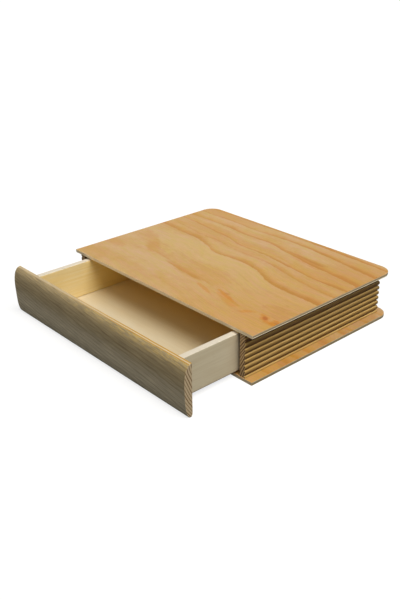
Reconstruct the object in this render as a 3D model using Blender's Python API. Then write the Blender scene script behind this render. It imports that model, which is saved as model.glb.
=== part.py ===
"""Wooden box in the shape of a closed book, with a drawer that slides out at the spine.

Metres, +Z up. The origin is the middle of the lower cover's underside. The spine faces -Y.
The drawer stands open, as the photograph shows it, and closes along +Y.
"""

from math import cos, pi, radians, sin, sqrt

import bmesh
import bpy
from mathutils import Matrix, Vector

# Covers: two plywood sheets, rounded at the corners away from the spine
COVER_WIDTH = 0.240
COVER_DEPTH = 0.180
COVER_THICKNESS = 0.0030
COVER_CORNER_RADIUS = 0.0130
CORNER_STEPS = 10

# Page rails: beaded strips between the covers, set back from the covers' edges
RAIL_HEIGHT = 0.038
RAIL_THICKNESS = 0.0060
RAIL_INSET = 0.0080
RAIL_SETBACK = 0.0005
BEAD_COUNT = 7
BEAD_DEPTH = 0.0019
PART_BEAD_HEIGHT = 0.00185
BEAD_STEPS = 8

# Glue line between boards that are fixed to each other
GLUE_GAP = 0.0003

# Drawer box: four walls on a thin bottom sheet that slides on the lower cover
WALL_THICKNESS = 0.0059
BOTTOM_THICKNESS = 0.0027
BOTTOM_INSET = 0.0030
SIDE_PLAY = 0.0030
FLOOR_PLAY = 0.0003
HEADROOM = 0.0019
BACK_PLAY = 0.0020

# Drawer front: the book's rounded spine, which covers both covers' edges
SPINE_THICKNESS = 0.0076
SPINE_GROUND_CLEARANCE = 0.0003
SPINE_RISE = 0.0012
SPINE_CURVE_STEPS = 4

# Section of the spine below its top edge, as (thickness, height) shares, from the top front
# arris down the rounded face and round the foot to the flat inner face
SPINE_SECTION_SHARES = (
    (0.45, 0.970),
    (0.72, 0.910),
    (0.88, 0.830),
    (0.97, 0.730),
    (1.00, 0.610),
    (0.98, 0.480),
    (0.95, 0.340),
    (0.88, 0.200),
    (0.75, 0.090),
    (0.52, 0.018),
    (0.28, 0.000),
    (0.10, 0.012),
    (0.00, 0.060),
)

# How far the drawer stands open: from the covers' front edges to the spine's inner face
DRAWER_PULL = 0.0610
# What is left of that when the drawer is pushed home
CLOSED_GAP = 0.0003

# Softened arrises of the drawer's sawn boards
BOARD_EASING = 0.0004
EASING_SEGMENTS = 2
SHARP_ANGLE = radians(35)

# Levels of the case, from the ground up
LOWER_COVER_TOP = COVER_THICKNESS
RAIL_FOOT = LOWER_COVER_TOP + GLUE_GAP
UPPER_COVER_FOOT = RAIL_FOOT + RAIL_HEIGHT + GLUE_GAP
CASE_TOP = UPPER_COVER_FOOT + COVER_THICKNESS

# Faces of the case in plan
FRONT_EDGE = -COVER_DEPTH / 2
REAR_EDGE = COVER_DEPTH / 2
RAIL_INNER_X = COVER_WIDTH / 2 - RAIL_INSET - RAIL_THICKNESS
RAIL_INNER_Y = REAR_EDGE - RAIL_INSET - RAIL_THICKNESS
RAIL_FRONT_END = FRONT_EDGE + RAIL_SETBACK
MITRE_RELIEF = GLUE_GAP / sqrt(2)

# Levels and faces of the drawer, in plan from the spine's inner face
BOTTOM_FOOT = LOWER_COVER_TOP + FLOOR_PLAY
WALL_FOOT = BOTTOM_FOOT + BOTTOM_THICKNESS + GLUE_GAP
WALL_HEIGHT = UPPER_COVER_FOOT - HEADROOM - WALL_FOOT
BOX_HALF_WIDTH = RAIL_INNER_X - SIDE_PLAY
BOX_START = GLUE_GAP
BOX_LENGTH = RAIL_INNER_Y - BACK_PLAY - (FRONT_EDGE - CLOSED_GAP) - BOX_START
CROSS_WALL_WIDTH = 2 * (BOX_HALF_WIDTH - WALL_THICKNESS - GLUE_GAP)
SPINE_HEIGHT = CASE_TOP + SPINE_RISE - SPINE_GROUND_CLEARANCE

# Colours as linear red, green and blue
HONEY_PLY = (0.604, 0.371, 0.147)
BEADED_PINE = (0.440, 0.262, 0.090)
SPINE_PINE = (0.451, 0.332, 0.162)
PALE_LIMEWOOD = (0.716, 0.597, 0.402)
PALE_PLY = (0.730, 0.604, 0.416)


def wood(name, colour, roughness):
    """Bare or lightly oiled wood."""
    material = bpy.data.materials.new(name)
    material.use_nodes = True
    shader = material.node_tree.nodes["Principled BSDF"]
    shader.inputs["Base Color"].default_value = (*colour, 1)
    shader.inputs["Roughness"].default_value = roughness
    shader.inputs["Metallic"].default_value = 0
    return material


def place(mesh, name, material, parent, location, turn=0):
    """Make the named piece from its mesh, turned about Z and set under its parent."""
    data = bpy.data.meshes.new(name)
    mesh.to_mesh(data)
    mesh.free()
    data.materials.append(material)
    data.shade_smooth()
    data.set_sharp_from_angle(angle=SHARP_ANGLE)
    piece = bpy.data.objects.new(name, data)
    bpy.context.collection.objects.link(piece)
    piece.parent = parent
    piece.location = location
    piece.rotation_euler.z = turn
    return piece


def frame_empty(name, location):
    """Empty that carries one group of pieces."""
    empty = bpy.data.objects.new(name, None)
    bpy.context.collection.objects.link(empty)
    empty.location = location
    return empty


def extruded(outline, path):
    """Solid that the closed outline sweeps along the path, with the vertices of its far end."""
    mesh = bmesh.new()
    start = mesh.faces.new([mesh.verts.new(point) for point in outline])
    swept = bmesh.ops.extrude_face_region(mesh, geom=[start])
    far_end = [item for item in swept["geom"] if isinstance(item, bmesh.types.BMVert)]
    bmesh.ops.translate(mesh, verts=far_end, vec=path)
    bmesh.ops.recalc_face_normals(mesh, faces=mesh.faces)
    return mesh, far_end


def arc(centre, radius, start, stop, steps):
    """Points of a level arc, both ends included."""
    angles = (start + (stop - start) * step / steps for step in range(steps + 1))
    return [centre + Vector((radius * cos(a), radius * sin(a), 0)) for a in angles]


def smooth_curve(points, steps):
    """Points of a curve that passes evenly through the given ones."""
    padded = [points[0], *points, points[-1]]
    curve = []
    for before, start, stop, after in zip(padded, padded[1:], padded[2:], padded[3:]):
        for step in range(steps):
            t = step / steps
            bend = (2 * before - 5 * start + 4 * stop - after) * t * t
            twist = (3 * start - before - 3 * stop + after) * t * t * t
            curve.append((2 * start + (stop - before) * t + bend + twist) / 2)
    curve.append(points[-1])
    return curve


def cover(name, material, parent, foot):
    """Plywood sheet with square corners at the spine and rounded ones at the rear."""
    half = COVER_WIDTH / 2
    radius = COVER_CORNER_RADIUS
    outline = [Vector((-half, FRONT_EDGE, 0)), Vector((half, FRONT_EDGE, 0))]
    outline += arc(Vector((half - radius, REAR_EDGE - radius, 0)), radius, 0, pi / 2, CORNER_STEPS)
    outline += arc(Vector((radius - half, REAR_EDGE - radius, 0)), radius, pi / 2, pi, CORNER_STEPS)
    mesh, _ = extruded(outline, Vector((0, 0, COVER_THICKNESS)))
    return place(mesh, name, material, parent, Vector((0, 0, foot)))


def rail_section():
    """Section of a page rail as (outwards, up): flat back, a row of beads, part of one above and below."""
    groove = RAIL_THICKNESS - BEAD_DEPTH
    pitch = (RAIL_HEIGHT - 2 * PART_BEAD_HEIGHT) / BEAD_COUNT
    quarter = [pi / 2 * step / (BEAD_STEPS // 2) for step in range(BEAD_STEPS // 2 + 1)]
    section = [(0, 0)]
    section += [(groove + BEAD_DEPTH * cos(angle), PART_BEAD_HEIGHT * sin(angle)) for angle in quarter]
    for bead in range(BEAD_COUNT):
        middle = PART_BEAD_HEIGHT + pitch * (bead + 1 / 2)
        for step in range(1, BEAD_STEPS + 1):
            angle = pi * step / BEAD_STEPS
            section.append((groove + BEAD_DEPTH * sin(angle), middle - pitch / 2 * cos(angle)))
    top = RAIL_HEIGHT - PART_BEAD_HEIGHT
    for angle in quarter[1:]:
        section.append((groove + BEAD_DEPTH * sin(angle), top + PART_BEAD_HEIGHT * (1 - cos(angle))))
    section.append((0, RAIL_HEIGHT))
    return section


def page_rail(name, material, parent, inner_corner, turn, length, start_mitred, end_mitred):
    """Beaded strip along its own +X with its beads facing -Y, cut square or mitred at each end."""
    outline = [Vector((0, -outwards, up)) for outwards, up in rail_section()]
    mesh, far_end = extruded(outline, Vector((length, 0, 0)))
    for vertex in mesh.verts:
        mitre = -vertex.co.y - MITRE_RELIEF
        if vertex in far_end:
            vertex.co.x += mitre * end_mitred
        else:
            vertex.co.x -= mitre * start_mitred
    return place(mesh, name, material, parent, inner_corner, turn)


def board(name, material, parent, low, size):
    """Sawn board with eased arrises, from its lowest corner."""
    mesh = bmesh.new()
    bmesh.ops.create_cube(mesh, size=1, matrix=Matrix.Translation(size / 2) @ Matrix.Diagonal((*size, 1)))
    piece = place(mesh, name, material, parent, low)
    easing = piece.modifiers.new("Easing", "BEVEL")
    easing.width = BOARD_EASING
    easing.segments = EASING_SEGMENTS
    easing.harden_normals = True
    return piece


def build_case(plywood, beaded):
    """Two covers with three page rails between them."""
    case = frame_empty("case", Vector((0, 0, 0)))
    cover("bottom_cover", plywood, case, 0)
    cover("top_cover", plywood, case, UPPER_COVER_FOOT)
    side_length = RAIL_INNER_Y - RAIL_FRONT_END
    right_front = Vector((RAIL_INNER_X, RAIL_FRONT_END, RAIL_FOOT))
    left_rear = Vector((-RAIL_INNER_X, RAIL_INNER_Y, RAIL_FOOT))
    right_rear = Vector((RAIL_INNER_X, RAIL_INNER_Y, RAIL_FOOT))
    page_rail("right_page_rail", beaded, case, right_front, pi / 2, side_length, False, True)
    page_rail("left_page_rail", beaded, case, left_rear, -pi / 2, side_length, True, False)
    page_rail("rear_page_rail", beaded, case, right_rear, pi, 2 * RAIL_INNER_X, True, True)


def spine(material, drawer):
    """Drawer front: flat inside, rounded outside and at the foot, with a narrow sloping top."""
    points = [Vector((0, -SPINE_THICKNESS * out, SPINE_HEIGHT * up)) for out, up in SPINE_SECTION_SHARES]
    outline = [Vector((0, 0, SPINE_HEIGHT)), *smooth_curve(points, SPINE_CURVE_STEPS)]
    mesh, _ = extruded(outline, Vector((COVER_WIDTH, 0, 0)))
    corner = Vector((-COVER_WIDTH / 2, 0, SPINE_GROUND_CLEARANCE))
    return place(mesh, "drawer_front_spine", material, drawer, corner)


def build_drawer(front_pine, limewood, bottom_ply):
    """Spine and the four-walled box behind it, which slide together along Y."""
    drawer = frame_empty("drawer", Vector((0, FRONT_EDGE - DRAWER_PULL, 0)))
    spine(front_pine, drawer)

    side_size = Vector((WALL_THICKNESS, BOX_LENGTH, WALL_HEIGHT))
    board("drawer_left_side", limewood, drawer, Vector((-BOX_HALF_WIDTH, BOX_START, WALL_FOOT)), side_size)
    right_low = Vector((BOX_HALF_WIDTH - WALL_THICKNESS, BOX_START, WALL_FOOT))
    board("drawer_right_side", limewood, drawer, right_low, side_size)

    cross_size = Vector((CROSS_WALL_WIDTH, WALL_THICKNESS, WALL_HEIGHT))
    front_low = Vector((-CROSS_WALL_WIDTH / 2, BOX_START, WALL_FOOT))
    back_low = Vector((-CROSS_WALL_WIDTH / 2, BOX_START + BOX_LENGTH - WALL_THICKNESS, WALL_FOOT))
    board("drawer_sub_front", limewood, drawer, front_low, cross_size)
    board("drawer_back", limewood, drawer, back_low, cross_size)

    bottom_half_width = BOX_HALF_WIDTH - BOTTOM_INSET
    bottom_size = Vector((2 * bottom_half_width, BOX_LENGTH - BOTTOM_INSET, BOTTOM_THICKNESS))
    board("drawer_bottom", bottom_ply, drawer, Vector((-bottom_half_width, BOX_START, BOTTOM_FOOT)), bottom_size)


def main():
    for old in list(bpy.data.objects):
        bpy.data.objects.remove(old)
    build_case(wood("honey plywood", HONEY_PLY, 0.50), wood("beaded pine", BEADED_PINE, 0.55))
    build_drawer(
        wood("spine pine", SPINE_PINE, 0.55),
        wood("pale limewood", PALE_LIMEWOOD, 0.65),
        wood("pale plywood", PALE_PLY, 0.60),
    )


main()
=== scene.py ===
"""Looks of a wooden box in the shape of a closed book, with a drawer behind its rounded spine.

Metres, +Z up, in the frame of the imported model: the spine faces -Y and the drawer stands open.
"""

from math import cos, pi, radians, sin
from typing import NamedTuple

import bmesh
import bpy
from bpy.props import FloatProperty, FloatVectorProperty, IntProperty, PointerProperty
from mathutils import Matrix, Vector


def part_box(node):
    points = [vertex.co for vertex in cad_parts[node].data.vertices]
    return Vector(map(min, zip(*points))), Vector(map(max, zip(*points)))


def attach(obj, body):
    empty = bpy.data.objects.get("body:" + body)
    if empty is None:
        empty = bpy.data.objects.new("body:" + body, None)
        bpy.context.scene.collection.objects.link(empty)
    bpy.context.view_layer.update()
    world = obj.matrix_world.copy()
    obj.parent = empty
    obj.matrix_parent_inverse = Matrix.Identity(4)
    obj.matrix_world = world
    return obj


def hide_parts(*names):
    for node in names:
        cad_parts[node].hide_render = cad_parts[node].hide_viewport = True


bl_info = {
    "name": "Book-shaped box",
    "version": (1, 0, 0),
    "blender": (4, 5, 0),
    "location": "3D View > Sidebar > Book box",
    "description": "Wooden box in the shape of a closed book, with a drawer behind its rounded spine",
    "category": "Object",
}

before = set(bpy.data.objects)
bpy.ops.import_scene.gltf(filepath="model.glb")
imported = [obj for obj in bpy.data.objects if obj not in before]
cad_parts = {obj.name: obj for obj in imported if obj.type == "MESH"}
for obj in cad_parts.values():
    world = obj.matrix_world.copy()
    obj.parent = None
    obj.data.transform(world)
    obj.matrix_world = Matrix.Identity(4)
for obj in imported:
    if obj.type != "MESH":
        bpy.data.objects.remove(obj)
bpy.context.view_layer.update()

MILLIMETRES = 1000
NODE_STEP = 180
SHARP_ANGLE = radians(35)
FLAT_ANGLE = radians(0.5)
JOIN_DISTANCE = 1e-6
EASING_SEGMENTS = 3

# How wood takes light: strength of its bump, its gloss, and its fibres' relief in metres
BUMP_STRENGTH = 0.6
WOOD_GLOSS = 0.35
VENEER_RELIEF = 0.00006
PINE_RELIEF = 0.00009
BARE_RELIEF = 0.00005

# Width of the camera's frame in millimetres, and how near and how far it sees in metres
FRAME_WIDTH = 36
NEAREST, FURTHEST = 0.01, 100

# Floor as the camera sees it: a grey that takes the shadow and a glow that makes it white
SHADOW_GREY = 0.30
FLOOR_GLOW = 0.76
WHITE = (1, 1, 1)

# From here on, places and sizes in the wood's patterns are in millimetres of Object coordinates,
# on a cover from its left and rear edges. Noise takes its place times a scale for each millimetre,
# and numbers added to a place, such as a seed, only tell one pattern from another.

# Where a grain line begins and ends, past both sides of a cover, and how softly
LINE_START, LINE_END = -9, 249
LINE_FADE = 8
# Distance from the rear edge that a curve node's full height stands for
CURVE_REACH = 200
# Parts of a cover: from its rear or left edge, where each begins and is full
CALM_REAR, CALM_LEFT = (96, 122), (165, 105)
AMBER_REAR, AMBER_LEFT = (30, 150), (70, 240)
SUNNY_LEFT, SUNNY_RIGHT = (20, 60), (215, 160)
# Middle of the sunny part, and how far from it the part begins and is full
SUNNY_MIDDLE, SUNNY_HALF = 97, (22, 8)
# Most that a grain line covers the wood
DARKEST_CORE = 0.92
# Squared distance from an oval's middle, in its half sizes, where it begins and is full
PATCH_FADE = (2.2, 0.1)
# Mean of Blender's noise, and how far from it most of the noise lies
NOISE_MEAN = 0.5
NOISE_MIDDLE = (-0.18, 0.18)
# Factors of the veneer's rosy and yellow tinges
ROSY, YELLOW = (1.02, 0.97, 1.16), (0.97, 1.005, 0.80)
# Half width of the change from one ply to the next
PLY_BLEND = 0.08

# Shares of a year's ring where its dark wood is full and where it stops
LATE_FULL, LATE_STOP = 0.86, 0.93
LIMEWOOD_RING = 5.5
# Share of a face's direction, along the grain, up or to the rear, where a sawn end, an edge, the
# underside and the front begin and are full
SAWN_TURN, EDGE_TURN = (0.6, 0.8), (0.72, 0.45)
UNDER_TURN, FRONT_TURN = (-0.5, -0.8), (-0.3, -0.7)

# Places along Y between which painted shade turns the drawer's walls and bottom golden and its outside warmer
WALL_SHADE_FADE = (-105, -65)
BOTTOM_SHADE_FADE = (-112, -42)
OUTER_SHADE_FADE = (-112, -66)

# Rings laid open along the spine's top edge: distance from its inner corner and half width
AMBER_LINES = ((0.8, 0.50), (2.7, 0.40))


class GrainLine(NamedTuple):
    """A dark line in the veneer: its strength, the widths of its core and glow, and its levels.

    Levels are distances from the rear edge at evenly spaced places from left to right.
    """

    dark: float
    core: float
    glow: float
    levels: tuple
    start: float = LINE_START
    end: float = LINE_END


class Patch(NamedTuple):
    """A stained oval: its place from the left and rear edges, half sizes, tilt and strength."""

    left: float
    rear: float
    long: float
    wide: float
    tilt: float
    strength: float


class Veneer(NamedTuple):
    """What one cover has of its own: its node, ply and wood colours, grain lines and patches."""

    node: str
    plies: tuple
    tones: tuple
    lines: tuple
    clouds: tuple
    resin: tuple
    knots: tuple


class Rail(NamedTuple):
    """A page rail: way of its grain, place of its pith, seed, turn about Z and mitred ends."""

    side: str
    along: str
    pith: tuple
    seed: float
    turn: float
    mitres: tuple

    @property
    def node(self):
        return f"{self.side}_page_rail"


# Grain lines on the upper cover, read from the photograph and rounded to half a millimetre
UPPER_LINES = (
    GrainLine(0.75, 2.8, 5, (4, 4, 3.5, 3.5, 3.5, 3.5, 3.5, 4, 4, 5, 6, 7, 8.5)),
    GrainLine(0.70, 2.6, 11, (17, 17, 16.5, 16.5, 18, 16.5, 15.5, 15.5, 17, 19, 22, 24.5, 27.5)),
    GrainLine(0.85, 4.2, 14, (31, 31, 31, 31, 34, 33.5, 33, 37.5, 41, 45.5, 47.5, 50, 54)),
    GrainLine(0.75, 3.6, 5, (31, 31, 32, 32, 33, 33.5, 34, 36.5, 37.5, 40.5, 41.5, 42, 42), 136, 192),
    GrainLine(0.75, 2.4, 12, (44, 45, 47, 50, 52, 57.5, 58, 58.5, 61, 64, 67, 67.5, 68)),
    GrainLine(0.45, 2.6, 9, (57.5, 61, 64, 66, 65.5, 69, 69.5, 70, 72, 77, 80.5, 83, 83.5)),
    GrainLine(0.75, 5, 15, (72.5, 73.5, 74.5, 75, 81, 87.5, 86, 85.5, 91, 100, 103.5, 104, 104.5)),
    GrainLine(0.34, 3, 8, (125, 126, 127, 128.5, 131, 134, 136.5, 139, 144, 148, 151, 152, 152), 50, 150),
    GrainLine(0.60, 5.5, 9, (128, 128, 129, 130, 134, 137.5, 140, 142, 146, 151, 154, 156, 157), 84, 136),
)
# Lines whose rise and fall the fine fibres between them follow
RISE_LINE, FALL_LINE, LAST_LINE = 1, 6, 7

# Grain lines on the lower cover: the slant of one upper line, gentler, at these distances from
# the rear edge on the right
LEAN_LINE = 4
LEAN_SHARE = 0.8
LOWER_LEVELS = (12, 34, 57, 66, 90, 112, 127, 138, 161)
LOWER_STRENGTHS = (0.34, 3, 12)

# Brown clouds, resinous spots and small knots
UPPER_CLOUDS = (
    Patch(18, 102, 13, 5, 22, 0.55),
    Patch(43, 119, 13, 6, 38, 0.85),
    Patch(8, 140, 12, 5, 0, 0.60),
    Patch(112, 138, 17, 4, 5, 0.70),
    Patch(232, 137, 15, 9, 10, 0.95),
    Patch(176, 43, 24, 4, 10, 0.80),
    Patch(226, 44, 34, 26, 0, 0.70),
    Patch(26, 7, 44, 7, 0, 0.60),
)
UPPER_RESIN = (
    Patch(152, 149.6, 12, 2, 17, 0.50),
    Patch(181, 150, 17, 3.6, 20, 0.42),
    Patch(176, 146, 13, 1.6, 16, 0.66),
    Patch(206.3, 155.7, 6.5, 2.6, -43, 0.60),
    Patch(226.5, 152.5, 6.5, 3.6, 35, 0.80),
    Patch(237.5, 152.5, 4.5, 4, 0, 0.95),
)
UPPER_KNOTS = (
    Patch(173.3, 142.6, 2.6, 1.6, 0, 0.35),
    Patch(226.3, 152.1, 3.3, 1.9, 35, 0.95),
    Patch(238.5, 152.1, 2.2, 1.6, 0, 0.55),
)
LOWER_CLOUDS = (Patch(236, 122, 12, 20, 0, 0.5), Patch(60, 40, 12, 6, 10, 0.3))
LOWER_RESIN = (
    Patch(236, 140, 10, 5, 20, 0.45),
    Patch(237, 91, 9, 5, 20, 0.55),
    Patch(236, 62, 10, 4, 20, 0.50),
    Patch(237, 20, 9, 3, 20, 0.35),
)


def length(name, description, default):
    """Setting in metres."""
    return FloatProperty(
        name=name, description=description, default=default, min=0, unit="LENGTH", subtype="DISTANCE"
    )


def share(name, description, default):
    """Setting from 0 to 1."""
    return FloatProperty(
        name=name, description=description, default=default, min=0, soft_max=1, subtype="FACTOR"
    )


def strength(name, description, default):
    """Setting for how strong a lamp is."""
    return FloatProperty(name=name, description=description, default=default, min=0)


def angle(name, description, degrees):
    """Setting shown in degrees."""
    return FloatProperty(name=name, description=description, default=radians(degrees), subtype="ANGLE")


def light_factors(name, description, default):
    """Setting for red, green and blue factors that paint light and shade onto a colour."""
    return FloatVectorProperty(name=name, description=description, default=default, size=3, min=0)


def colour(name, description, default):
    """Setting for a colour."""
    return FloatVectorProperty(
        name=name, description=description, default=default, size=3, min=0, max=1, subtype="COLOR"
    )


class CoverSettings(bpy.types.PropertyGroup):
    """Two veneered sheets, the book's covers."""

    arris: length("Arris", "Width of the sanded edges", 0.0004)
    face_ply: length("Face ply", "Thickness of each outer ply", 0.0010)
    glue_line: length("Glue line", "Width of the dark line between two plies", 0.00018)
    pale: colour("Pale wood", "Calm wood between the grain lines", (0.580, 0.378, 0.170))
    warm: colour("Warm wood", "Browner wood near the grain lines", (0.540, 0.310, 0.100))
    grain: colour("Grain lines", "Latewood of the veneer", (0.460, 0.185, 0.012))
    amber: colour("Amber wood", "Oily wood at the front right", (0.570, 0.305, 0.078))
    resin: colour("Resin", "Stain in the resinous spots", (0.570, 0.215, 0.008))
    knot: colour("Knot", "Heart of the small knots", (0.430, 0.130, 0.012))
    lower_pale: colour("Pale lower wood", "Calm wood of the lower cover", (0.530, 0.340, 0.155))
    lower_warm: colour("Warm lower wood", "Browner wood of the lower cover", (0.490, 0.280, 0.108))
    lower_resin: colour("Lower resin", "Resinous spots of the lower cover", (0.480, 0.215, 0.060))
    top_ply: colour("Upper ply", "Edge of the upper ply", (0.520, 0.405, 0.265))
    core_ply: colour("Core ply", "Edge of the middle ply", (0.370, 0.290, 0.165))
    bottom_ply: colour("Lower ply", "Edge of the lower ply", (0.960, 0.850, 0.610))
    # Plies of the lower cover, darker than the upper cover's plies as painted shade, the lowest ply darkest
    # at the floor
    shaded_lower_top_ply: colour("Upper ply below", "Upper ply of the lower cover", (0.420, 0.375, 0.266))
    shaded_lower_core_ply: colour("Core ply below", "Middle ply of the lower cover", (0.310, 0.240, 0.115))
    shaded_lower_bottom_ply: colour("Lower ply below", "Lower ply of the lower cover", (0.260, 0.205, 0.105))
    cloud: colour("Clouds", "Browner blotches", (0.530, 0.275, 0.075))
    glow: colour("Glow", "Wood that deepens towards a grain line", (0.560, 0.288, 0.042))
    sunny: colour("Yellow wood", "Yellowest wood, in the middle of the upper cover", (0.595, 0.405, 0.140))
    underside: colour("Inner side", "Underside of each cover", (0.880, 0.590, 0.030))
    glue: colour("Glue", "Line between two plies", (0.200, 0.135, 0.055))
    # Lighter tints on the front-facing sawn edges of the covers: painted light
    painted_front_edge: colour("Front edge", "Upper cover's sawn edge above the drawer", (1.000, 0.820, 0.540))
    painted_lower_front_edge: colour("Front edge below", "Lower cover's edge under the drawer", (0.660, 0.520, 0.340))
    roughness: share("Roughness", "Roughness of the sanded veneer", 0.55)


class RailSettings(bpy.types.PropertyGroup):
    """Three beaded strips that look like the pages."""

    bead_count: IntProperty(name="Beads", description="Number of beads on a strip", default=7, min=1)
    bead_steps: IntProperty(name="Bead steps", description="Faces round one bead", default=18, min=4)
    bead_depth: length("Bead depth", "How far a bead stands out of its groove", 0.0019)
    part_bead: length("Part bead", "Height of the part of a bead at the top and foot", 0.00185)
    ring_gap: length("Ring spacing", "Thickness of one year's wood", 0.0019)
    late_start: share("Latewood start", "Share of a ring where the dark part begins", 0.30)
    early: colour("Earlywood", "Pale part of each ring", (0.615, 0.405, 0.130))
    late: colour("Latewood", "Dark part of each ring", (0.450, 0.238, 0.040))
    # Colour of painted shade in the grooves, on the lower part of each bead and under the upper cover
    groove: colour("Groove shade", "Painted shade in the grooves and under the beads", (0.080, 0.027, 0.001))
    end_early: colour("End earlywood", "Pale part of a ring on the sawn end", (0.600, 0.400, 0.200))
    end_late: colour("End latewood", "Dark part of a ring on the sawn end", (0.085, 0.032, 0.006))
    roughness: share("Roughness", "Roughness of the moulded wood", 0.55)


class SpineSettings(bpy.types.PropertyGroup):
    """Rounded front of the drawer, the book's spine."""

    arris: length("Arris", "Width of the sanded edges", 0.0005)
    ring_gap: length("Ring spacing", "Thickness of one year's wood", 0.0021)
    late_start: share("Latewood start", "Share of a ring where the dark part begins", 0.48)
    early: colour("Earlywood", "Pale part of each ring", (0.535, 0.442, 0.278))
    late: colour("Latewood", "Dark part of each ring", (0.340, 0.258, 0.134))
    # Painted light and shade on the spine's face: the foot lighter and cooler, as if lit from the floor, and
    # the upper half darker and browner
    foot_painted_light: light_factors("Foot stain", "Factors that grey the foot", (1.05, 1.09, 1.20))
    upper_painted_shade: light_factors("Upper stain", "Factors that brown the upper half", (0.705, 0.655, 0.57))
    gold: colour("Golden top", "Sanded wood along the top edge", (0.560, 0.390, 0.130))
    amber: colour("Amber line", "Ring laid open along the top edge", (0.560, 0.285, 0.012))
    cream: colour("Cream top", "Inner border of the top edge", (0.680, 0.560, 0.365))
    end_early: colour("End earlywood", "Pale part of a ring on the sawn end", (0.560, 0.435, 0.270))
    end_late: colour("End latewood", "Dark part of a ring on the sawn end", (0.155, 0.080, 0.026))
    roughness: share("Roughness", "Roughness of the planed wood", 0.60)


class DrawerSettings(bpy.types.PropertyGroup):
    """Four walls and the bottom of the drawer."""

    inner_pale: colour("Pale inner wood", "Lightest streaks on the inner faces", (0.840, 0.690, 0.385))
    inner_cream: colour("Golden inner wood", "Warmer streaks on the inner faces", (0.800, 0.610, 0.270))
    outer_pale: colour("Pale outer wood", "Lightest streaks on the outer faces", (0.670, 0.590, 0.420))
    outer_cream: colour("Grey outer wood", "Darker streaks on the outer faces", (0.610, 0.520, 0.350))
    top: colour("Wall tops", "Sanded upper edges of the walls", (0.760, 0.690, 0.580))
    fleck: colour("Flecks", "Small brown flecks", (0.420, 0.270, 0.130))
    bottom_pale: colour("Pale bottom", "Lightest streaks of the bottom", (0.680, 0.590, 0.420))
    bottom_cream: colour("Cream bottom", "Warmer streaks of the bottom", (0.650, 0.540, 0.350))
    # Painted shade: colours that the outer faces, the inner faces and the bottom turn to towards and inside
    # the case
    outer_painted_shade: colour("Warm outer shade", "Outer faces deep in the drawer's run", (0.645, 0.515, 0.340))
    wall_painted_shade: colour("Golden wall", "Inner faces away from the light", (0.890, 0.650, 0.210))
    bottom_painted_shade: colour("Golden bottom", "Bottom away from the light", (0.855, 0.645, 0.285))
    roughness: share("Roughness", "Roughness of the bare wood", 0.65)


class StageSettings(bpy.types.PropertyGroup):
    """Floor, studio light and camera."""

    floor_size: length("Floor size", "Side of the square floor", 30.0)
    floor: colour("Floor", "Colour of the pale floor", (0.14, 0.14, 0.14))
    key_strength: strength("Key light", "Strength of the overhead light", 2.9)
    key_colour: colour("Key colour", "Colour of the overhead light", (1.0, 0.97, 0.92))
    key_spread: angle("Key spread", "Width of the overhead light seen from the box", 42)
    key_azimuth: angle("Key azimuth", "Side that the overhead light leans to", 88)
    key_elevation: angle("Key elevation", "Height of the overhead light", 61)
    front_strength: strength("Front light", "Strength of the front light", 0.52)
    front_spread: angle("Front spread", "Width of the front light seen from the box", 60)
    front_azimuth: angle("Front azimuth", "Side that the front light comes from", 25)
    front_elevation: angle("Front elevation", "Height of the front light", 42)
    fill_strength: share("Fill light", "Strength of the light from all round", 0.08)
    fill_colour: colour("Fill colour", "Colour of the light from all round", (0.86, 0.95, 1.0))
    camera_place: FloatVectorProperty(
        name="Camera place", description="Where the photograph was taken from",
        default=(0.4756, -0.4564, 0.3233), subtype="TRANSLATION", unit="LENGTH",
    )
    camera_azimuth: angle("Camera azimuth", "From -Y towards +X", 48.57)
    camera_elevation: angle("Camera elevation", "Above the horizon", 25.95)
    camera_roll: angle("Camera roll", "Turn about the line of sight", -0.81)
    lens: FloatProperty(name="Lens", description="Focal length", default=45.97, unit="CAMERA")


class BookBoxSettings(bpy.types.PropertyGroup):
    """All settings of the box and its stage."""

    covers: PointerProperty(type=CoverSettings, name="Covers", description="Two veneered sheets")
    rails: PointerProperty(type=RailSettings, name="Page rails", description="Three beaded strips")
    spine: PointerProperty(type=SpineSettings, name="Spine", description="Rounded drawer front")
    drawer: PointerProperty(type=DrawerSettings, name="Drawer", description="Walls and bottom")
    stage: PointerProperty(type=StageSettings, name="Stage", description="Floor, light and camera")


class Value:
    """Output of a node, so that maths on it is written as an expression."""

    def __init__(self, sheet, socket):
        self.sheet = sheet
        self.socket = socket

    def maths(self, operation, *others):
        """Result of an operation on this value and any others."""
        return self.sheet.maths(operation, self, *others)

    def at_least(self, other):
        """The greater of this value and another."""
        return self.maths("MAXIMUM", other)

    def at_most(self, other):
        """The lesser of this value and another."""
        return self.maths("MINIMUM", other)

    def __add__(self, other):
        return self.maths("ADD", other)

    def __sub__(self, other):
        return self.maths("SUBTRACT", other)

    def __rsub__(self, other):
        return self.sheet.maths("SUBTRACT", other, self)

    def __mul__(self, other):
        return self.maths("MULTIPLY", other)

    def __truediv__(self, other):
        return self.maths("DIVIDE", other)

    def __rtruediv__(self, other):
        return self.sheet.maths("DIVIDE", other, self)

    def __pow__(self, other):
        return self.maths("POWER", other)

    def __gt__(self, other):
        return self.maths("GREATER_THAN", other)

    def __lt__(self, other):
        return self.maths("LESS_THAN", other)

    def __abs__(self):
        return self.maths("ABSOLUTE")

    __radd__ = __add__
    __rmul__ = __mul__


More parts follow.
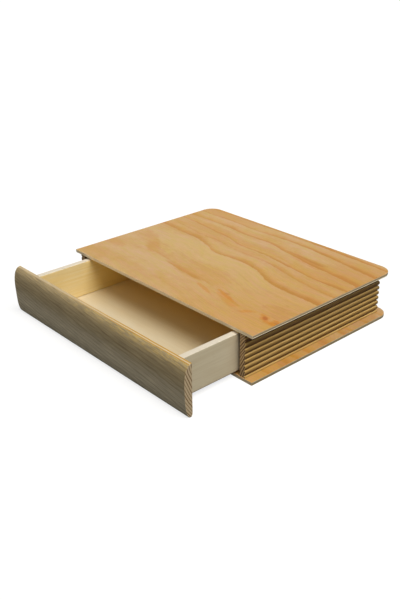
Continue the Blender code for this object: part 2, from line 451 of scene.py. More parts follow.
class Sheet:
    """Node tree of a material, a world or a shape, with one way to add a node."""

    def __init__(self, tree):
        self.tree = tree

    def node(self, kind, settings=None, sockets=None, output=0):
        """Add a node with its settings, then the values or links of its sockets."""
        made = self.tree.nodes.new(kind)
        made.location.x = NODE_STEP * len(self.tree.nodes)
        for name, value in (settings or {}).items():
            if name == "curve":
                self.draw_curve(made, value)
            elif name == "capture":
                made.capture_items.new(*value)
            else:
                setattr(made, name, value)
        for name, value in (sockets or {}).items():
            if isinstance(value, Value):
                self.tree.links.new(value.socket, made.inputs[name])
            elif made.inputs[name].type == "RGBA":
                made.inputs[name].default_value = (*value, 1)
            else:
                made.inputs[name].default_value = value
        return Value(self, made.outputs[output]) if made.outputs else None

    def maths(self, operation, *values):
        """Result of an operation on values or numbers."""
        return self.node("ShaderNodeMath", {"operation": operation}, dict(enumerate(values)))

    def draw_curve(self, made, points):
        """Lay a curve through evenly spaced heights."""
        drawn = made.mapping.curves[0]
        last = len(points) - 1
        while len(drawn.points) < len(points):
            drawn.points.new(0.5, 0.5)
        for step, height in enumerate(points):
            drawn.points[step].location = (step / last, height)
        made.mapping.update()

    def more(self, value, output):
        """Another output of the node that gave a value."""
        return Value(self, value.socket.node.outputs[output])

    def join(self, *parts):
        """Vector of its parts."""
        return self.node("ShaderNodeCombineXYZ", sockets=dict(enumerate(parts)))

    def split(self, vector):
        """Three parts of a vector."""
        first = self.node("ShaderNodeSeparateXYZ", sockets={0: vector})
        return first, self.more(first, 1), self.more(first, 2)

    def smooth(self, value, low, high):
        """Soft step from 0 at low to 1 at high."""
        return self.node(
            "ShaderNodeMapRange", {"interpolation_type": "SMOOTHSTEP"}, {0: value, 1: low, 2: high}
        )

    def noise(self, place, detail=2, roughness=0.5):
        """Soft random value round 0 at three coordinates, from -0.5 to 0.5."""
        sockets = {"Vector": self.join(*place), "Scale": 1, "Detail": detail, "Roughness": roughness}
        return self.node("ShaderNodeTexNoise", sockets=sockets) - NOISE_MEAN

    def mix(self, amount, first, second):
        """Colour between two colours."""
        return self.node("ShaderNodeMix", {"data_type": "RGBA"}, {0: amount, 6: first, 7: second}, output=2)

    def shaded(self, tint, change):
        """Colour made lighter, or darker below 0, by a share of itself."""
        amount = change + 1
        grey = self.join(amount, amount, amount)
        settings = {"data_type": "RGBA", "blend_type": "MULTIPLY", "clamp_result": True}
        return self.node("ShaderNodeMix", settings, {0: 1, 6: tint, 7: grey}, output=2)

    def stained(self, tint, factors):
        """Colour multiplied by another colour."""
        settings = {"data_type": "RGBA", "blend_type": "MULTIPLY"}
        return self.node("ShaderNodeMix", settings, {0: 1, 6: tint, 7: factors}, output=2)

    def wood_surface(self, tint, roughness, height, relief):
        """Bare wood from its colour, roughness and the height of its fibres."""
        fibres = {"Strength": BUMP_STRENGTH, "Distance": relief, "Height": height}
        bump = self.node("ShaderNodeBump", sockets=fibres)
        finish = {
            "Base Color": tint, "Roughness": roughness, "Specular IOR Level": WOOD_GLOSS, "Normal": bump
        }
        shader = self.node("ShaderNodeBsdfPrincipled", sockets=finish)
        self.node("ShaderNodeOutputMaterial", sockets={"Surface": shader})


def blank_material(name):
    """Material without nodes, and its sheet."""
    material = bpy.data.materials.new(name)
    material.use_nodes = True
    material.node_tree.nodes.clear()
    return material, Sheet(material.node_tree)


def board_place(sheet, along):
    """Place and facing on a board, each as (along the grain, level across it, up)."""
    place = sheet.node("ShaderNodeTexCoord", output="Object")
    x, y, up = (part * MILLIMETRES for part in sheet.split(place))
    face_x, face_y, face_up = sheet.split(sheet.more(place, "Normal"))
    if along == "X":
        return (x, y, up), (face_x, face_y, face_up)
    return (y, x, up), (face_y, face_x, face_up)


def patched(sheet, tint, patches, spot, left, rear, ragged):
    """Colour with tilted ovals of another, fullest at their middles and uneven at their edges."""
    for patch in patches:
        turn = radians(patch.tilt)
        across, down = left - patch.left, rear - patch.rear
        long = (across * cos(turn) + down * sin(turn)) / patch.long
        wide = (down * cos(turn) - across * sin(turn)) / patch.wide
        depth = sheet.smooth(long ** 2 + wide ** 2 + ragged, *PATCH_FADE) * patch.strength
        tint = sheet.mix(depth, tint, spot)
    return tint


def drawn_grain(sheet, lines, laid, left, level, seed):
    """Darkness of the grain lines: a narrow core with one sharp edge, and a glow behind it."""
    core, glow = None, None
    fray = sheet.noise((left * 0.22, level * 0.7, seed + 77), 3, 0.6)
    right = sheet.smooth(left, 110, 225) * 0.6 + 1
    for number, (line, line_level) in enumerate(zip(lines, laid)):
        above = line_level - level
        swell = sheet.smooth(sheet.noise((left * 0.028, number * 7.3, seed), 3), -0.25, 0.25)
        narrow = sheet.smooth(above, (swell * 1.1 + 0.8) * right * line.core, -0.3) ** 1.2
        broad = sheet.smooth(above, line.glow * 1.2, 0)
        starts = sheet.smooth(left, line.start - LINE_FADE, line.start + LINE_FADE)
        ends = sheet.smooth(left, line.end + LINE_FADE, line.end - LINE_FADE)
        shown = sheet.smooth(above, -1.0, 0.4) * starts * ends * line.dark
        narrow = narrow * shown * right * (swell * 0.5 + fray * 0.9 + 0.6)
        broad = broad * shown * right
        core = narrow if core is None else core.at_least(narrow)
        glow = broad if glow is None else glow.at_least(broad)
    return core.at_most(DARKEST_CORE), glow


def fibre_lie(lines, laid, level):
    """Level straightened along the grain, so that fine fibres follow the drawn lines."""
    followed = (RISE_LINE, FALL_LINE, LAST_LINE)
    rise, fall, last = (laid[number] - lines[number].levels[0] for number in followed)

    def between(first, second):
        """How far the level has come from one line to the next."""
        passed = (level - laid[first]) / (laid[second] - laid[first])
        return passed.at_least(0).at_most(1)

    upper = between(RISE_LINE, FALL_LINE)
    lower = between(FALL_LINE, LAST_LINE)
    return level - rise - (fall - rise) * upper - (last - fall) * lower


def ply_edge(sheet, look, plies, place, low, thick, front):
    """Colour of a sheet's sawn edge: three plies with glue between them, and painted light as a lighter tint
    on the front edge.
    """
    x, y, up = place
    top, core, bottom, painted_front_tint = plies
    ply = look.face_ply * MILLIMETRES
    line = look.glue_line * MILLIMETRES
    ripple = sheet.noise((x * 0.07, y * 0.07, low + 40)) * 0.35
    layer = up - low + ripple
    streak = sheet.noise((x * 0.4, y * 0.4, up * 7), 3, 0.6)
    patchy = sheet.noise((x * 0.05, y * 0.05, low + 60), 2)
    upper_joint = thick - ply
    tint = sheet.mix(sheet.smooth(layer, ply - PLY_BLEND, ply + PLY_BLEND), bottom, core)
    tint = sheet.mix(sheet.smooth(layer, upper_joint - PLY_BLEND, upper_joint + PLY_BLEND), tint, top)
    for joint in (ply, upper_joint):
        tint = sheet.mix(sheet.smooth(abs(layer - joint), line, line * 0.3) * 0.45, tint, look.glue)
    # Painted light: the front-facing edge takes a lighter tint of its own
    tint = sheet.mix(front * 0.8, tint, painted_front_tint)
    return sheet.shaded(tint, streak * 0.4 + patchy * 0.3)


def veneered_ply(name, look, veneer):
    """Three-ply sheet with a pine veneer that has drawn grain lines, and plies at its edges."""
    material, sheet = blank_material(name)
    pale, warm, oily = veneer.tones
    lines = veneer.lines
    low, high = (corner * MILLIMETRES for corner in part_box(veneer.node))
    (x, y, up), (_, face_front, face_up) = board_place(sheet, "X")
    left = x - low.x
    rear = high.y - y
    seed = low.z

    sway = sheet.noise((x * 0.03, rear * 0.06, seed)) * 2.4
    waver = sheet.noise((x * 0.14, rear * 0.30, seed + 3)) * 1.2
    torn = sheet.noise((x * 0.20, rear * 0.8, seed + 6), 4, 0.65) * 4
    level = rear + sway + waver
    across = left / (high.x - low.x)
    laid = []
    for line in lines:
        heights = [distance / CURVE_REACH for distance in line.levels]
        laid.append(sheet.node("ShaderNodeFloatCurve", {"curve": heights}, {"Value": across}) * CURVE_REACH)
    core, glow = drawn_grain(sheet, lines, laid, left, level + torn, seed)
    lie = fibre_lie(lines, laid, level)

    fibre = sheet.noise((x * 0.035, lie * 2.4, seed), 4, 0.62)
    rings = sheet.noise((x * 0.006, lie * 0.40, seed + 9), 3, 0.55)
    zone = sheet.noise((x * 0.010, lie * 0.035, seed + 21), 2)
    hue = sheet.noise((x * 0.06, lie * 0.3, seed + 33), 4, 0.65)
    blotch = sheet.noise((x * 0.09, rear * 0.12, seed + 44), 4, 0.65)
    calm = sheet.smooth(rear, *CALM_REAR) * sheet.smooth(left, *CALM_LEFT)
    pores = sheet.smooth(sheet.noise((x * 0.13, lie * 4, seed + 5), 1), 0.16, 0.28)
    speckle = sheet.noise((x * 0.30, lie * 1.1, seed + 52), 3, 0.7)
    ragged = (rings + fibre) * 2.4
    ragged_cloud = ragged + blotch * 7
    ragged_edge = rings * 40 + blotch * 30

    streaks = rings * (0.55 - calm * 0.45)
    warmth = sheet.smooth(zone + streaks + blotch * 0.5, -0.20, 0.20)
    tint = sheet.mix(warmth, pale, warm)
    sunny = sheet.smooth(abs(rear + ragged_edge - SUNNY_MIDDLE), *SUNNY_HALF)
    sunny = sunny * sheet.smooth(left, *SUNNY_LEFT) * sheet.smooth(left, *SUNNY_RIGHT)
    tint = sheet.mix(sunny * 0.55, tint, look.sunny)
    amber = sheet.smooth(left + zone * 90, *AMBER_LEFT) * sheet.smooth(rear, *AMBER_REAR)
    tint = sheet.mix(amber * 0.8, tint, look.amber)
    tint = patched(sheet, tint, veneer.clouds, look.cloud, left, rear, ragged_cloud)
    tint = sheet.mix(glow * (blotch * 1.2 + 0.6), tint, look.glow)
    tint = sheet.mix(core, tint, look.grain)
    tint = patched(sheet, tint, veneer.resin, oily, left, rear, ragged_cloud)
    tint = patched(sheet, tint, veneer.knots, look.knot, left, rear, ragged * 0.3)
    fine = fibre * (0.26 + amber * 0.20 - calm * 0.08) + speckle * 0.16
    tint = sheet.shaded(tint, fine - pores * 0.12)
    tint = sheet.stained(tint, sheet.mix(sheet.smooth(hue, *NOISE_MIDDLE), ROSY, YELLOW))
    tint = sheet.mix(sheet.smooth(face_up, *UNDER_TURN), tint, look.underside)

    edge = sheet.smooth(abs(face_up), *EDGE_TURN)
    front = sheet.smooth(face_front, *FRONT_TURN)
    sawn = ply_edge(sheet, look, veneer.plies, (x, y, up), low.z, high.z - low.z, front)
    tint = sheet.mix(edge, tint, sawn)

    roughness = look.roughness + fibre * 0.16 - core * 0.06 + edge * 0.12
    height = fibre * 0.6 + core * 0.4 - pores * 0.8
    sheet.wood_surface(tint, roughness, height, VENEER_RELIEF)
    return material


def ringed_pine(name, look, along, pith, seed, sway=5, slant=0):
    """Growth rings round a far pith at (level across, up): a material, its sheet and its patterns."""
    material, sheet = blank_material(name)
    place, (face_run, _, _) = board_place(sheet, along)
    run, level, up = place
    bow = sheet.noise((run * 0.006, level * 0.02, up * 0.02 + seed)) * sway
    waver = sheet.noise((run * 0.03, level * 0.10, up * 0.10 + seed + 5)) * 1.6
    leaning = up + run * slant
    away = ((level - pith[0]) ** 2 + (leaning - pith[1]) ** 2) ** 0.5
    years = (away + bow + waver) / (look.ring_gap * MILLIMETRES)
    part = years.maths("FRACT")
    year = years.maths("FLOOR")
    dark = sheet.node("ShaderNodeTexWhiteNoise", {"noise_dimensions": "1D"}, {"W": year + seed})
    late = sheet.smooth(part, look.late_start, LATE_FULL) * sheet.smooth(part, 1, LATE_STOP)
    late = late * (dark * 0.5 + 0.5)

    fibre = sheet.noise((run * 0.05, level * 3.2, leaning * 3.2 + seed), 4, 0.62)
    zone = sheet.noise((run * 0.008, level * 0.16, leaning * 0.16 + seed + 30), 3)
    pores = sheet.smooth(sheet.noise((run * 0.16, level * 4.2, up * 4.2 + seed), 1), 0.19, 0.27)
    sawn = sheet.smooth(abs(face_run), *SAWN_TURN)
    tint = sheet.mix(late * 0.75 + zone * 0.6, look.early, look.late)
    end_tint = sheet.mix((late * 1.5).at_most(1), look.end_early, look.end_late)
    return material, sheet, {
        "place": place, "tint": tint, "end_tint": end_tint,
        "late": late, "fibre": fibre, "pores": pores, "sawn": sawn,
    }


def finish_pine(sheet, look, wood, tint):
    """Surface of ringed pine from the colour of its long faces."""
    fibre, pores, late, sawn = (wood[part] for part in ("fibre", "pores", "late", "sawn"))
    tint = sheet.mix(sawn, tint, wood["end_tint"])
    tint = sheet.shaded(tint, fibre * 0.30 - pores * 0.16)
    roughness = look.roughness + fibre * 0.18 - late * 0.08 + sawn * 0.15
    sheet.wood_surface(tint, roughness, fibre * 0.6 + late * 0.5 - pores * 0.8, PINE_RELIEF)


def beaded_pine(rail, look):
    """Ringed pine of a page rail, with painted shade in its grooves, on the lower part of each bead and under
    the upper cover.
    """
    name = f"{rail.side} rail pine"
    material, sheet, wood = ringed_pine(name, look, rail.along, rail.pith, rail.seed, sway=13)
    low, high = (corner.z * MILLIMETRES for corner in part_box(rail.node))
    up = wood["place"][2]
    part = look.part_bead * MILLIMETRES
    pitch = (high - low - part * 2) / look.bead_count
    # Share of the way up a bead, from groove to groove
    over = ((up - low - part) / pitch).maths("FRACT")
    # Painted shade: each groove and the lower part of each bead darkened as if lit from above, and the top of
    # the strip darkened as a painted shadow of the upper cover, but not the sawn ends
    under = sheet.smooth(over, 0.86, 0.60) * 0.55 + sheet.smooth(over, 0.62, 0.10) * 0.40
    above = sheet.smooth(over, 0.86, 0.97)
    shade = under.at_least(above) + sheet.smooth(up, high - 14, high) * 0.35
    shade = shade.at_most(1) * (1 - wood["sawn"])
    tint = sheet.mix(shade, wood["tint"], look.groove)
    finish_pine(sheet, look, wood, tint)
    return material


def spine_pine(name, look, node):
    """Ringed pine of the spine, golden along its sanded top edge, with painted light on its foot and painted
    shade on its upper half.
    """
    material, sheet, wood = ringed_pine(name, look, "X", pith=(-66, 83), seed=14, slant=0.15)
    run, level, up = wood["place"]
    _, inner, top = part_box(node)[1] * MILLIMETRES
    # Painted light and shade: lighter and cooler at the foot, darker and browner on the upper half
    factors = sheet.mix(sheet.smooth(up, 14, 34), look.foot_painted_light, look.upper_painted_shade)
    tint = sheet.stained(wood["tint"], factors)
    shown = sheet.smooth(run, -70, 60)
    slanted = up + run * 0.06
    grain = sheet.noise((run * 0.055, slanted * 1.25, 8), 4, 0.6)
    tint = sheet.shaded(tint, grain * 1.5 - 0.03)
    dashes = sheet.noise((run * 0.11, slanted * 1.7, 3), 3, 0.65)
    near_top = sheet.smooth(up, top - 10, top - 2) * (shown * 0.7 + 0.3)
    tint = sheet.mix(sheet.smooth(dashes, -0.03, 0.08) * near_top * 0.85, tint, look.gold)
    lie = top - up + (inner - level) * 0.8 + sheet.noise((run * 0.03, 7, 9)) * 0.8
    tint = sheet.mix(sheet.smooth(lie, 3.4, 2.4) * (shown * 0.2 + 0.65), tint, look.cream)
    for depth, wide in AMBER_LINES:
        drawn = sheet.smooth(abs(lie - depth), wide + 0.15, wide * 0.5)
        tint = sheet.mix(drawn * (shown * 0.8 + 0.2), tint, look.amber)
    finish_pine(sheet, look, wood, tint)
    return material


def bare_limewood(name, look, along, seed, outer, inner):
    """Close-grained wood with faint streaks and flecks, pale and warmer on its outside and inside, with
    painted shade that turns the inner faces golden and the outer faces warmer towards and inside the case.
    """
    material, sheet = blank_material(name)
    (run, level, up), (face_run, face_level, face_up) = board_place(sheet, along)
    sway = sheet.noise((run * 0.012, level * 0.05, up * 0.05 + seed)) * 9
    years = (level * 0.75 + up * 0.66 + sway) / LIMEWOOD_RING
    part = years.maths("FRACT")
    line = sheet.smooth(part, 0.72, 0.97) * sheet.smooth(part, 1, 0.97)
    streak = sheet.noise((run * 0.012, level * 0.5, up * 0.5 + seed), 3, 0.55)
    fibre = sheet.noise((run * 0.07, level * 4, up * 4 + seed), 3, 0.6)
    blotch = sheet.noise((run * 0.03, level * 0.05, up * 0.05 + seed + 12), 2)
    flecks = sheet.smooth(sheet.noise((run * 0.30, level * 1.5, up * 1.5 + seed), 1), 0.20, 0.30)
    sawn = sheet.smooth(abs(face_run), *SAWN_TURN)
    warmth = sheet.smooth(streak * 0.6 + blotch * 0.4, *NOISE_MIDDLE)
    outside = sheet.smooth(face_level * level.maths("SIGN"), 0.3, 0.7)
    # Painted shade: the inner faces turn golden and the outer faces warmer towards and inside the case
    deep = sheet.smooth(run if along == "Y" else level, *WALL_SHADE_FADE)
    golden = sheet.mix(deep, sheet.mix(warmth, *inner), look.wall_painted_shade)
    outer_tint = sheet.mix(sheet.smooth(run, *OUTER_SHADE_FADE), sheet.mix(warmth, *outer), look.outer_painted_shade)
    tint = sheet.mix(outside, golden, outer_tint)
    tint = sheet.mix(sheet.smooth(face_up, 0.5, 0.8) * 0.9, tint, look.top)
    tint = sheet.mix(line * 0.05 + flecks * 0.22, tint, look.fleck)
    tint = sheet.shaded(tint, fibre * 0.12 - sawn * 0.18)
    roughness = look.roughness + fibre * 0.14 + sawn * 0.1
    sheet.wood_surface(tint, roughness, fibre - line * 0.3, BARE_RELIEF)
    return material


def drawer_ply(name, look):
    """Pale sheet of the drawer's bottom, its grain across the drawer, with painted shade that turns it golden
    towards the rear.
    """
    material, sheet = blank_material(name)
    (run, level, up), _ = board_place(sheet, "X")
    streak = sheet.noise((run * 0.010, level * 0.35, up * 0.5), 3, 0.55)
    fibre = sheet.noise((run * 0.06, level * 3, up * 3), 3, 0.6)
    blotch = sheet.noise((run * 0.03, level * 0.05, 71), 2)
    warmth = sheet.smooth(streak * 0.6 + blotch * 0.4, *NOISE_MIDDLE)
    tint = sheet.mix(warmth, look.bottom_pale, look.bottom_cream)
    # Painted shade: the bottom turns golden towards the rear
    tint = sheet.mix(sheet.smooth(level, *BOTTOM_SHADE_FADE), tint, look.bottom_painted_shade)
    tint = sheet.shaded(tint, fibre * 0.12)
    sheet.wood_surface(tint, look.roughness + fibre * 0.14, fibre, BARE_RELIEF)
    return material


def cleaned(mesh):
    """Join doubled vertices, turn the faces outwards and set smooth shading with sharp arrises."""
    work = bmesh.new()
    work.from_mesh(mesh)
    bmesh.ops.remove_doubles(work, verts=work.verts, dist=JOIN_DISTANCE)
    bmesh.ops.dissolve_limit(work, angle_limit=FLAT_ANGLE, verts=work.verts, edges=work.edges)
    bmesh.ops.recalc_face_normals(work, faces=work.faces)
    work.to_mesh(mesh)
    work.free()
    mesh.shade_smooth()
    mesh.set_sharp_from_angle(angle=SHARP_ANGLE)
    return mesh


def new_object(name, data):
    """Object that is linked to the scene."""
    made = bpy.data.objects.new(name, data)
    bpy.context.scene.collection.objects.link(made)
    return made


def show_piece(name, mesh, body, slot, *nodes):
    """Put a finished mesh in the scene in place of its nodes."""
    piece = new_object(name, mesh)
    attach(piece, body)
    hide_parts(*nodes)
    return piece


def eased_copy(name, node, material, arris, body, slot):
    """Piece with the form of a node, its arrises sanded."""
    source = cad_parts[node].data
    work = bmesh.new()
    for corner in source.vertices:
        work.verts.new(corner.co)
    work.verts.ensure_lookup_table()
    for face in source.polygons:
        work.faces.new([work.verts[corner] for corner in face.vertices])
    mesh = bpy.data.meshes.new(name)
    work.to_mesh(mesh)
    work.free()
    mesh.materials.append(material)
    piece = show_piece(name, cleaned(mesh), body, slot, node)
    easing = piece.modifiers.new("Sanded arrises", "BEVEL")
    easing.width = arris
    easing.segments = EASING_SEGMENTS
    easing.limit_method = "ANGLE"
    easing.angle_limit = SHARP_ANGLE
    easing.harden_normals = True


# Inputs of the shape tree, in the order in which beaded_rail gives their values
RAIL_INPUTS = {
    "Length": "Float",
    "Height": "Float",
    "Thickness": "Float",
    "Bead Depth": "Float",
    "Part Bead Height": "Float",
    "Beads": "Int",
    "Bead Steps": "Int",
    "Start Mitre": "Float",
    "End Mitre": "Float",
    "Material": "Material",
}


def beaded_strip_tree():
    """Shape tree: a strip along +X with a flat back and a row of half-round beads that face -Y."""
    tree = bpy.data.node_groups.new("Beaded strip", "GeometryNodeTree")
    for name, kind in RAIL_INPUTS.items():
        tree.interface.new_socket(name, in_out="INPUT", socket_type=f"NodeSocket{kind}")
    tree.interface.new_socket("Strip", in_out="OUTPUT", socket_type="NodeSocketGeometry")
    sheet = Sheet(tree)
    given = sheet.node("NodeGroupInput")
    run, height, thick, bead_depth, part, beads, steps, start_mitre, end_mitre, material = (
        sheet.more(given, name) for name in RAIL_INPUTS
    )

    index = sheet.node("GeometryNodeInputIndex")
    around = (beads + 1) * steps
    turns = ((index - 1) / steps - 0.5).at_least(-0.5).at_most(beads + 0.5)
    whole = turns.at_least(0).at_most(beads)
    bead = whole.maths("FLOOR").at_most(beads - 1)
    turn = (whole - bead) * pi
    foot_turn = turns.at_most(0) * pi
    top_turn = (turns - whole).at_least(0) * pi
    pitch = (height - part * 2) / beads
    bead_up = pitch * (bead + (1 - turn.maths("COSINE")) / 2)
    part_up = part * (1 + foot_turn.maths("COSINE") - top_turn.maths("COSINE"))
    section_up = bead_up + part_up
    bead_out = bead_depth * abs((turns * pi).maths("SINE"))
    moulded = (index > 0.5) * (index < around + 1.5)
    section_out = (thick - bead_depth + bead_out) * moulded

    count = around + 3
    dots = sheet.node("GeometryNodeMeshLine", sockets={"Count": count})
    where = sheet.join(section_out, section_up)
    dots = sheet.node("GeometryNodeSetPosition", sockets={"Geometry": dots, "Position": where})
    outline = sheet.node("GeometryNodeMeshToCurve", sockets={"Mesh": dots})
    outline = sheet.node("GeometryNodeSetSplineCyclic", sockets={"Geometry": outline, "Cyclic": True})
    drawn = sheet.node(
        "GeometryNodeCaptureAttribute",
        {"capture": ("VECTOR", "Section")},
        {0: outline, 1: sheet.node("GeometryNodeInputPosition")},
    )
    path = sheet.node("GeometryNodeCurvePrimitiveLine")
    walked = sheet.node(
        "GeometryNodeCaptureAttribute",
        {"capture": ("FLOAT", "Share")},
        {0: path, 1: sheet.node("GeometryNodeSplineParameter")},
    )
    swept = sheet.node(
        "GeometryNodeCurveToMesh", sockets={"Curve": walked, "Profile Curve": drawn, "Fill Caps": True}
    )
    out, up, _ = sheet.split(sheet.more(drawn, 1))
    along = sheet.more(walked, 1)
    start = start_mitre * (thick - out)
    end = run - end_mitre * (thick - out)
    corner = sheet.join(start + (end - start) * along, out * -1, up)
    strip = sheet.node("GeometryNodeSetPosition", sockets={"Geometry": swept, "Position": corner})
    strip = sheet.node("GeometryNodeRealizeInstances", sockets={"Geometry": strip})
    strip = sheet.node("GeometryNodeSetMaterial", sockets={"Geometry": strip, "Material": material})
    sheet.node("NodeGroupOutput", sockets={0: strip})
    return tree


def beaded_rail(tree, rail, look, material):
    """Page rail from the shape tree, turned about Z and laid where its node is."""
    name = f"{rail.side}_beaded_rail"
    low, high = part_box(rail.node)
    size = high - low
    run, thick = (size.y, size.x) if rail.along == "Y" else (size.x, size.y)
    values = (
        run, size.z, thick, look.bead_depth, look.part_bead,
        look.bead_count, look.bead_steps, *rail.mitres, material,
    )
    piece = new_object(name, bpy.data.meshes.new(name))
    shape = piece.modifiers.new("Beaded strip", "NODES")
    shape.node_group = tree
    sockets = [item for item in tree.interface.items_tree if item.in_out == "INPUT"]
    for socket, value in zip(sockets, values):
        shape[socket.identifier] = value
    bpy.context.view_layer.update()
    made = piece.evaluated_get(bpy.context.evaluated_depsgraph_get())
    mesh = bpy.data.meshes.new_from_object(made)
    bpy.data.objects.remove(piece)
    mesh.name = name
    mesh.transform(Matrix.Rotation(rail.turn, 4, "Z"))
    corner = Vector(map(min, zip(*(vertex.co for vertex in mesh.vertices))))
    mesh.transform(Matrix.Translation(low - corner))
    show_piece(name, cleaned(mesh), "case", "beaded_pine", rail.node)


class MakeCovers(bpy.types.Operator):
    """Make both covers from veneered ply with sanded edges"""

    bl_idname = "book_box.make_covers"
    bl_label = "Covers"

    def execute(self, context):
        look = context.scene.book_box.covers
        lean = UPPER_LINES[LEAN_LINE].levels
        lower_lines = []
        for level in LOWER_LEVELS:
            leaning = tuple(level + (step - lean[-1]) * LEAN_SHARE for step in lean)
            lower_lines.append(GrainLine(*LOWER_STRENGTHS, leaning))
        upper = Veneer(
            node="top_cover",
            plies=(look.top_ply, look.core_ply, look.bottom_ply, look.painted_front_edge),
            tones=(look.pale, look.warm, look.resin),
            lines=UPPER_LINES, clouds=UPPER_CLOUDS, resin=UPPER_RESIN, knots=UPPER_KNOTS,
        )
        lower = Veneer(
            node="bottom_cover",
            plies=(look.shaded_lower_top_ply, look.shaded_lower_core_ply, look.shaded_lower_bottom_ply, look.painted_lower_front_edge),
            tones=(look.lower_pale, look.lower_warm, look.lower_resin),
            lines=tuple(lower_lines), clouds=LOWER_CLOUDS, resin=LOWER_RESIN, knots=(),
        )
        for side, veneer in {"upper": upper, "lower": lower}.items():
            ply = veneered_ply(f"{side} veneer", look, veneer)
            eased_copy(f"{side}_cover_sheet", veneer.node, ply, look.arris, "case", "cover_plywood")
        return {"FINISHED"}


class MakePageRails(bpy.types.Operator):
    """Make the three beaded strips between the covers"""

    bl_idname = "book_box.make_page_rails"
    bl_label = "Page rails"

    def execute(self, context):
        look = context.scene.book_box.rails
        tree = beaded_strip_tree()
        rails = (
            Rail("right", along="Y", pith=(160, -12), seed=2, turn=pi / 2, mitres=(0, 1)),
            Rail("left", along="Y", pith=(-158, 2), seed=51, turn=-pi / 2, mitres=(1, 0)),
            Rail("rear", along="X", pith=(132, -8), seed=97, turn=pi, mitres=(1, 1)),
        )
        for rail in rails:
            beaded_rail(tree, rail, look, beaded_pine(rail, look))
        return {"FINISHED"}


class MakeSpine(bpy.types.Operator):
    """Make the rounded spine that is the drawer's front"""

    bl_idname = "book_box.make_spine"
    bl_label = "Spine"

    def execute(self, context):
        look = context.scene.book_box.spine
        pine = spine_pine("spine pine", look, "drawer_front_spine")
        eased_copy("rounded_spine", "drawer_front_spine", pine, look.arris, "drawer", "spine_pine")
        return {"FINISHED"}


class FinishDrawer(bpy.types.Operator):
    """Give the drawer's walls and bottom their bare wood"""

    bl_idname = "book_box.finish_drawer"
    bl_label = "Drawer box"

    def execute(self, context):
        look = context.scene.book_box.drawer
        outer = (look.outer_pale, look.outer_cream)
        inner = (look.inner_pale, look.inner_cream)
        sides = bare_limewood("drawer side limewood", look, "Y", 4, outer, inner)
        cross = bare_limewood("drawer cross limewood", look, "X", 33, inner, inner)
        bottom = drawer_ply("drawer bottom ply", look)
        woods = {
            "drawer_left_side": sides,
            "drawer_right_side": sides,
            "drawer_sub_front": cross,
            "drawer_back": cross,
            "drawer_bottom": bottom,
        }
        for node, wood in woods.items():
            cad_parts[node].material_slots[0].material = wood
        return {"FINISHED"}


def aim(azimuth, elevation, roll=0):
    """Turn of a lamp or camera that looks at the box from an azimuth and an elevation."""
    return (
        Matrix.Rotation(azimuth, 4, "Z")
        @ Matrix.Rotation(pi / 2 - elevation, 4, "X")
        @ Matrix.Rotation(roll, 4, "Z")
    )


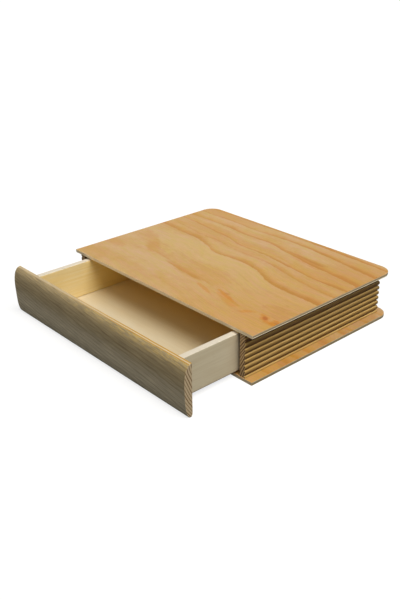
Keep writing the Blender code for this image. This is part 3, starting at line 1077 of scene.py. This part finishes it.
class SetStage(bpy.types.Operator):
    """Lay the floor and set the studio light and the camera"""

    bl_idname = "book_box.set_stage"
    bl_label = "Stage"

    def execute(self, context):
        look = context.scene.book_box.stage
        scene = context.scene
        self.lay_floor(look)
        self.light_world(scene, look)

        key = (look.key_strength, look.key_colour, look.key_spread, look.key_azimuth, look.key_elevation)
        front = (look.front_strength, WHITE, look.front_spread, look.front_azimuth, look.front_elevation)
        lamps = {"Overhead light": key, "Front light": front}
        for name, (power, tint, spread, azimuth, elevation) in lamps.items():
            lamp = bpy.data.lights.new(name, "SUN")
            lamp.energy = power
            lamp.color = tint
            lamp.angle = spread
            new_object(name, lamp).matrix_world = aim(azimuth, elevation)

        lens = bpy.data.cameras.new("Camera")
        lens.lens = look.lens
        lens.sensor_width = FRAME_WIDTH
        lens.clip_start = NEAREST
        lens.clip_end = FURTHEST
        camera = new_object("Camera", lens)
        turn = aim(look.camera_azimuth, look.camera_elevation, look.camera_roll)
        camera.matrix_world = Matrix.Translation(look.camera_place) @ turn
        scene.camera = camera
        scene.view_settings.view_transform = "Standard"
        return {"FINISHED"}

    def lay_floor(self, look):
        """Grey floor that looks white to the camera and keeps the box's shadow."""
        half = look.floor_size / 2
        corners = [(-half, -half, 0), (half, -half, 0), (half, half, 0), (-half, half, 0)]
        mesh = bpy.data.meshes.new("Floor")
        mesh.from_pydata(corners, [], [(0, 1, 2, 3)])
        material, sheet = blank_material("pale floor")
        seen = sheet.node("ShaderNodeLightPath")
        pale = sheet.node("ShaderNodeBsdfDiffuse", sockets={"Color": tuple(look.floor)})
        shade = sheet.node("ShaderNodeBsdfDiffuse", sockets={"Color": (SHADOW_GREY,) * 3})
        glow = sheet.node("ShaderNodeEmission", sockets={"Color": WHITE, "Strength": FLOOR_GLOW})
        white = sheet.node("ShaderNodeAddShader", sockets={0: shade, 1: glow})
        surface = sheet.node("ShaderNodeMixShader", sockets={0: seen, 1: pale, 2: white})
        sheet.node("ShaderNodeOutputMaterial", sockets={"Surface": surface})
        mesh.materials.append(material)
        floor = new_object("Floor", mesh)

    def light_world(self, scene, look):
        """Faint light from all round, white to the camera and to reflections."""
        world = bpy.data.worlds.new("Studio")
        world.use_nodes = True
        world.node_tree.nodes.clear()
        sheet = Sheet(world.node_tree)
        seen = sheet.node("ShaderNodeLightPath")
        white_to = seen.at_least(sheet.more(seen, "Is Glossy Ray"))
        white_to = white_to.at_least(sheet.more(seen, "Is Transmission Ray"))
        fill = {"Color": tuple(look.fill_colour), "Strength": look.fill_strength}
        fill = sheet.node("ShaderNodeBackground", sockets=fill)
        white = sheet.node("ShaderNodeBackground", sockets={"Color": WHITE, "Strength": 1})
        surface = sheet.node("ShaderNodeMixShader", sockets={0: white_to, 1: fill, 2: white})
        sheet.node("ShaderNodeOutputWorld", sockets={"Surface": surface})
        scene.world = world


class BookBoxPanel(bpy.types.Panel):
    """Lists the steps that make the box and its stage"""

    bl_idname = "VIEW3D_PT_book_box"
    bl_label = "Book box"
    bl_space_type = "VIEW_3D"
    bl_region_type = "UI"
    bl_category = "Book box"

    def draw(self, context):
        settings = context.scene.book_box
        for part, step in STEPS.items():
            box = self.layout.box()
            box.operator(step.bl_idname)
            group = getattr(settings, part)
            for name in group.bl_rna.properties.keys():
                if name not in {"rna_type", "name"}:
                    box.prop(group, name)


# Operator of each group of settings
STEPS = {
    "covers": MakeCovers,
    "rails": MakePageRails,
    "spine": MakeSpine,
    "drawer": FinishDrawer,
    "stage": SetStage,
}
CLASSES = (
    CoverSettings, RailSettings, SpineSettings, DrawerSettings, StageSettings, BookBoxSettings,
    *STEPS.values(), BookBoxPanel,
)


def register():
    """Add the settings, operators and panel to Blender."""
    for item in CLASSES:
        bpy.utils.register_class(item)
    bpy.types.Scene.book_box = PointerProperty(type=BookBoxSettings)


def unregister():
    """Take them out again, in the reverse order."""
    del bpy.types.Scene.book_box
    for item in reversed(CLASSES):
        bpy.utils.unregister_class(item)


def main():
    """Make the box and its stage."""
    register()
    bpy.ops.book_box.make_covers()
    bpy.ops.book_box.make_page_rails()
    bpy.ops.book_box.make_spine()
    bpy.ops.book_box.finish_drawer()
    bpy.ops.book_box.set_stage()


if __name__ == "__main__":
    main()
